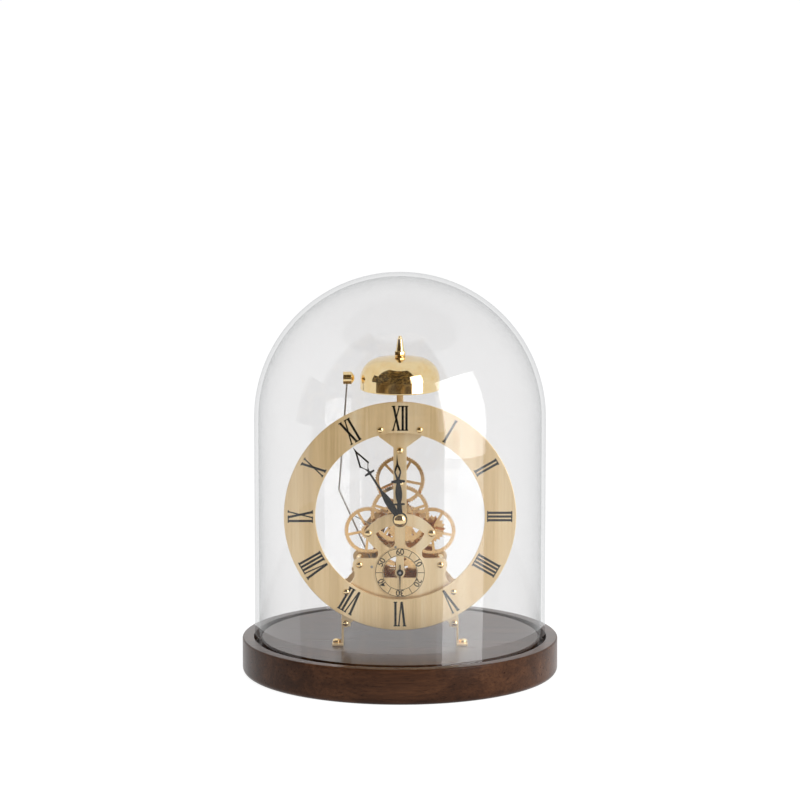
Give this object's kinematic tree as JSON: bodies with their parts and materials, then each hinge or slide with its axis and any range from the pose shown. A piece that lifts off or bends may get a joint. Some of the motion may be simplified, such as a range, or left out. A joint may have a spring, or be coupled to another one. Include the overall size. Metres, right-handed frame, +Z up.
{
  "type": "skeleton table clock",
  "caption": "Glass-domed brass skeleton table clock: pierced plates, open wheels, black hands and a bell hammer on a round walnut base",
  "frame": {"origin": "centre of the walnut base's underside, where the clock rests on the table", "axes": "+Z up along the dome's axis; the dial faces -Y; +X to the right seen from the front"},
  "size_m": [0.22, 0.22, 0.2805],
  "materials": {
    "walnut": "satin varnish",
    "clear_glass": "polished",
    "plate_brass": "brushed and lacquered",
    "wheel_brass": "fine machined",
    "polished_brass": "polished",
    "arbor_steel": "polished steel",
    "black_hands": "satin black"
  },
  "bodies": {
    "movement": {"walnut_base": "walnut", "front_plate": "plate_brass", "back_plate": "plate_brass", "pillars": "polished_brass", "pillar_nuts": "polished_brass", "pillar_screws": "polished_brass", "chapter_ring": "plate_brass", "ring_posts": "polished_brass", "ring_screws": "polished_brass", "seconds_dial": "plate_brass", "pivot_caps": "polished_brass", "leg_left": "plate_brass", "leg_right": "plate_brass", "foot_screws": "polished_brass", "bell": "polished_brass", "bell_stand": "plate_brass", "bell_finial": "polished_brass", "motion_stud": "arbor_steel", "escapement_bridge": "plate_brass", "bridge_pillars": "polished_brass", "click_screw": "arbor_steel", "spring_post": "arbor_steel", "hammer_spring": "arbor_steel"},
    "dome": {"glass_dome": "clear_glass"},
    "minute_arbor": {"centre_wheel": "wheel_brass", "minute_hand": "black_hands", "hand_nut": "polished_brass"},
    "hour_pipe": {"hour_wheel": "wheel_brass", "hour_hand": "black_hands"},
    "motion_wheel": {"minute_wheel": "wheel_brass"},
    "top_arbor": {"top_wheel": "wheel_brass"},
    "left_arbor": {"left_wheel": "wheel_brass"},
    "right_arbor": {"right_wheel": "wheel_brass"},
    "third_arbor": {"third_wheel": "wheel_brass"},
    "seconds_arbor": {"seconds_wheel": "wheel_brass", "seconds_hand": "black_hands"},
    "escape_arbor": {"escape_wheel": "wheel_brass"},
    "lever": {"pallet_lever": "arbor_steel"},
    "balance": {"balance_wheel": "wheel_brass"},
    "second_drive": {"second_drive_wheel": "wheel_brass"},
    "first_drive": {"first_drive_wheel": "wheel_brass"},
    "mainspring_barrel": {"great_wheel": "wheel_brass", "barrel": "wheel_brass"},
    "winding": {"winding_arbor": "arbor_steel", "ratchet_wheel": "arbor_steel"},
    "winding_click": {"click": "arbor_steel"},
    "hammer": {"hammer_arbor": "arbor_steel", "hammer_wire": "arbor_steel", "hammer_head": "polished_brass"}
  },
  "joints": [
    {"name": "dome_lift", "type": "slide", "parent": "movement", "child": "dome", "axis": [0, 0, 1], "range_m": [0, 0.23]},
    {"name": "minute_turn", "type": "hinge", "parent": "movement", "child": "minute_arbor", "pos_m": [0, -0.0195, 0.1172], "axis": [0, 1, 0], "continuous": true},
    {"name": "hour_turn", "type": "hinge", "parent": "movement", "child": "hour_pipe", "pos_m": [0, -0.0415, 0.1172], "axis": [0, 1, 0], "continuous": true},
    {"name": "motion_turn", "type": "hinge", "parent": "movement", "child": "motion_wheel", "pos_m": [0.00096, -0.0315, 0.10624], "axis": [0, 1, 0], "continuous": true},
    {"name": "top_turn", "type": "hinge", "parent": "movement", "child": "top_arbor", "pos_m": [0, -0.0195, 0.13992], "axis": [0, 1, 0], "continuous": true},
    {"name": "left_turn", "type": "hinge", "parent": "movement", "child": "left_arbor", "pos_m": [-0.02187, -0.0195, 0.10458], "axis": [0, 1, 0], "continuous": true},
    {"name": "right_turn", "type": "hinge", "parent": "movement", "child": "right_arbor", "pos_m": [0.02187, -0.0195, 0.10458], "axis": [0, 1, 0], "continuous": true},
    {"name": "third_turn", "type": "hinge", "parent": "movement", "child": "third_arbor", "pos_m": [-0.00301, -0.0195, 0.09467], "axis": [0, 1, 0], "continuous": true},
    {"name": "seconds_turn", "type": "hinge", "parent": "movement", "child": "seconds_arbor", "pos_m": [0, -0.0195, 0.077], "axis": [0, 1, 0], "continuous": true},
    {"name": "escape_turn", "type": "hinge", "parent": "movement", "child": "escape_arbor", "pos_m": [-0.0115, -0.0195, 0.0712], "axis": [0, 1, 0], "continuous": true},
    {"name": "second_drive_turn", "type": "hinge", "parent": "movement", "child": "second_drive", "pos_m": [0.013, -0.0195, 0.086], "axis": [0, 1, 0], "continuous": true},
    {"name": "first_drive_turn", "type": "hinge", "parent": "movement", "child": "first_drive", "pos_m": [0.0146, -0.0195, 0.0704], "axis": [0, 1, 0], "continuous": true},
    {"name": "barrel_turn", "type": "hinge", "parent": "movement", "child": "mainspring_barrel", "pos_m": [0, -0.0235, 0.0557], "axis": [0, 1, 0], "continuous": true},
    {"name": "winding_turn", "type": "hinge", "parent": "movement", "child": "winding", "pos_m": [0, -0.0035, 0.0557], "axis": [0, 1, 0], "continuous": true},
    {"name": "lever_rock", "type": "hinge", "parent": "movement", "child": "lever", "pos_m": [-0.0136, -0.0015, 0.0624], "axis": [0, 1, 0], "range_deg": [-4, 4]},
    {"name": "balance_swing", "type": "hinge", "parent": "movement", "child": "balance", "pos_m": [-0.02, 0.0015, 0.0532], "axis": [0, 1, 0], "range_deg": [-135, 135], "stiffness_Nm_per_rad": 0.0001},
    {"name": "click_pivot", "type": "hinge", "parent": "movement", "child": "winding_click", "pos_m": [0.0096, -0.0026, 0.0601], "axis": [0, 1, 0], "range_deg": [0, 12]},
    {"name": "hammer_swing", "type": "hinge", "parent": "movement", "child": "hammer", "pos_m": [-0.0195, -0.018, 0.0809], "axis": [0, 1, 0], "range_deg": [-12, 1.6], "stiffness_Nm_per_rad": 0.01}
  ],
  "couplings": [
    {"joint": "minute_turn", "follows": "third_turn", "ratio": -0.125},
    {"joint": "hour_turn", "follows": "third_turn", "ratio": -0.010417},
    {"joint": "motion_turn", "follows": "third_turn", "ratio": 0.041667},
    {"joint": "top_turn", "follows": "third_turn", "ratio": 1},
    {"joint": "left_turn", "follows": "third_turn", "ratio": 0.5},
    {"joint": "seconds_turn", "follows": "third_turn", "ratio": -7.5},
    {"joint": "escape_turn", "follows": "third_turn", "ratio": 45},
    {"joint": "right_turn", "follows": "third_turn", "ratio": 0.066667},
    {"joint": "second_drive_turn", "follows": "third_turn", "ratio": -0.051282},
    {"joint": "first_drive_turn", "follows": "third_turn", "ratio": 0.020513},
    {"joint": "barrel_turn", "follows": "third_turn", "ratio": -0.005698}
  ]
}
